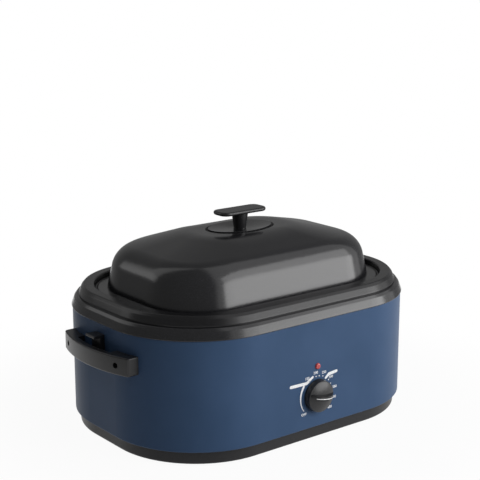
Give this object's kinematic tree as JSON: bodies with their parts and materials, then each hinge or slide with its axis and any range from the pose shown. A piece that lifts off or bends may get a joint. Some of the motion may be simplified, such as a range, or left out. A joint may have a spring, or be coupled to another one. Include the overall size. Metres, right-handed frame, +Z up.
{
  "type": "electric roaster oven",
  "caption": "Oblong countertop roaster: painted body with rim, handles and dial, lift-out pan with wire rack, and lift-off domed lid.",
  "frame": {"origin": "middle of the plan box at the height of the surface that the feet stand on", "axes": "+X along the long side to the right as seen from the front, -Y towards the front with the knob, +Z up"},
  "size_m": [0.598, 0.423, 0.3435],
  "materials": {
    "painted_body": "blue powder-like enamel paint, satin",
    "black_trim": "satin black enamel",
    "well_enamel": "black enamel",
    "pan_enamel": "black porcelain-like enamel, satin",
    "lid_enamel": "black enamel, glossy satin",
    "black_plastic": "moulded phenolic, fine satin",
    "saucer_metal": "satin black enamel",
    "rubber_feet": "matt",
    "chromed_wire": "bright chrome",
    "zinc_steel": "zinc plated",
    "heater_mica": "mica plate between steel skins",
    "glass_wool": "glass wool",
    "thermostat_case": "ceramic and steel",
    "copper_tube": "copper",
    "red_lens": "clear red plastic"
  },
  "bodies": {
    "base": {"base_tray": "black_plastic", "cord_gland": "black_plastic", "foot_front_left": "rubber_feet", "foot_front_right": "rubber_feet", "foot_rear_left": "rubber_feet", "foot_rear_right": "rubber_feet", "gland_nut": "black_plastic", "handle_left": "black_plastic", "handle_nuts": "zinc_steel", "handle_right": "black_plastic", "handle_screws": "zinc_steel", "heat_shield": "zinc_steel", "heater_band": "heater_mica", "heater_clamp_bolt": "zinc_steel", "indicator_lens": "red_lens", "insulation_blanket": "glass_wool", "lamp_holder": "black_plastic", "lid_hook_left": "black_plastic", "lid_hook_right": "black_plastic", "lid_hook_rivets": "zinc_steel", "outer_shell": "painted_body", "terminal_block": "black_plastic", "thermostat_body": "thermostat_case", "thermostat_bulb": "copper_tube", "thermostat_capillary": "copper_tube", "thermostat_nut": "zinc_steel", "tie_bolts": "zinc_steel", "tie_nuts": "zinc_steel", "top_rim": "black_trim", "well": "well_enamel"},
    "knob": {"control_knob": "black_plastic", "thermostat_shaft": "zinc_steel", "knob_clip": "zinc_steel"},
    "pan": {"roasting_pan": "pan_enamel"},
    "rack": {"rack_frame": "chromed_wire", "rack_cross_wires": "chromed_wire", "rack_handle_left": "chromed_wire", "rack_handle_right": "chromed_wire"},
    "lid": {"lid_shell": "lid_enamel", "lid_escutcheon": "saucer_metal", "lid_handle": "black_plastic", "lid_handle_washer": "zinc_steel", "lid_handle_screw": "zinc_steel"}
  },
  "joints": [
    {"name": "pan_lift", "type": "slide", "parent": "base", "child": "pan", "axis": [0, 0, 1], "range_m": [0, 0.195]},
    {"name": "rack_lift", "type": "slide", "parent": "pan", "child": "rack", "axis": [0, 0, -1], "range_m": [-0.165, 0]},
    {"name": "lid_lift", "type": "slide", "parent": "rack", "child": "lid", "axis": [0, 0, 1], "range_m": [0, 0.121]},
    {"name": "knob_turn", "type": "hinge", "parent": "base", "child": "knob", "pos_m": [0, -0.1875, 0.0775], "axis": [0, 1, 0], "range_deg": [-255, 30]}
  ]
}
